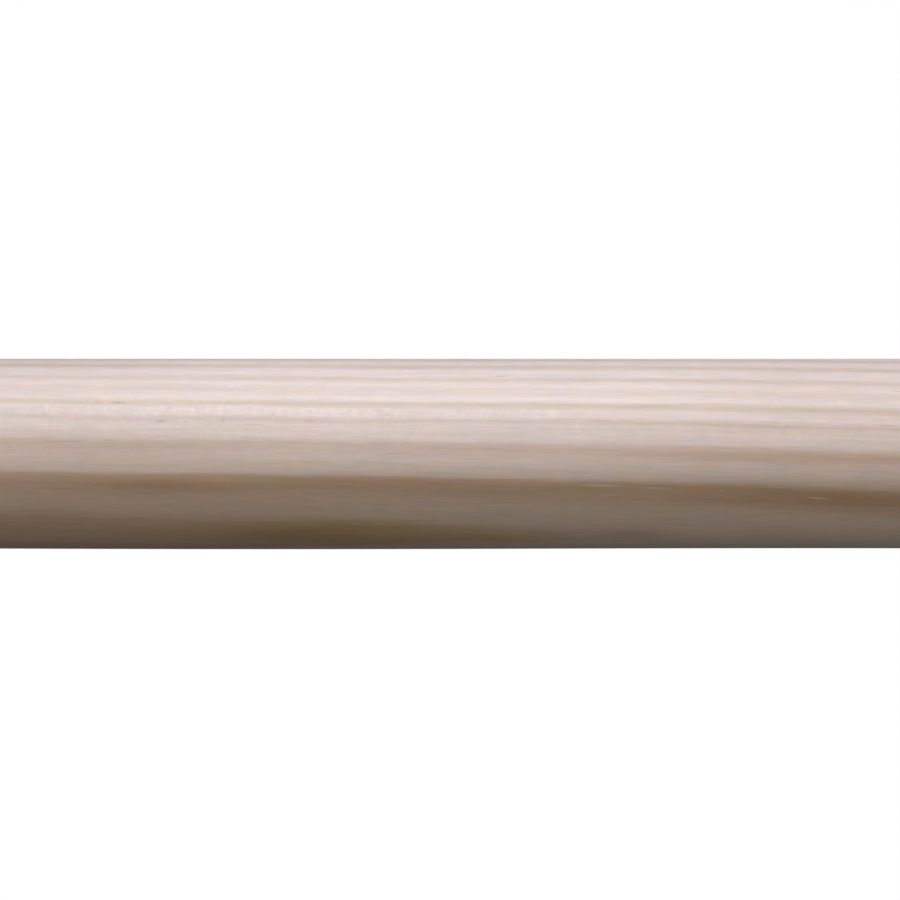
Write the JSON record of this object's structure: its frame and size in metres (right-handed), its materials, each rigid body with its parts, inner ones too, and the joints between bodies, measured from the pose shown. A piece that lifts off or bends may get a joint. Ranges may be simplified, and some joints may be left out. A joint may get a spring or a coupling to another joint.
{
  "type": "wooden dowel rod",
  "caption": "Straight round softwood dowel rod with square-sawn ends and sanded end edges, for cutting, gluing or fitting into round holes.",
  "frame": {"origin": "centre of the lower end face, on the rod's axis", "axes": "+Z along the rod's axis, up from the end that it stands on to the other; X and Y across the rod, which is round"},
  "size_m": [0.0254, 0.0254, 0.3048],
  "materials": {
    "pine": "bare pine, machined round and lightly sanded, with a faint dry sheen"
  },
  "bodies": {
    "root": {"dowel_rod": "pine"}
  },
  "joints": []
}
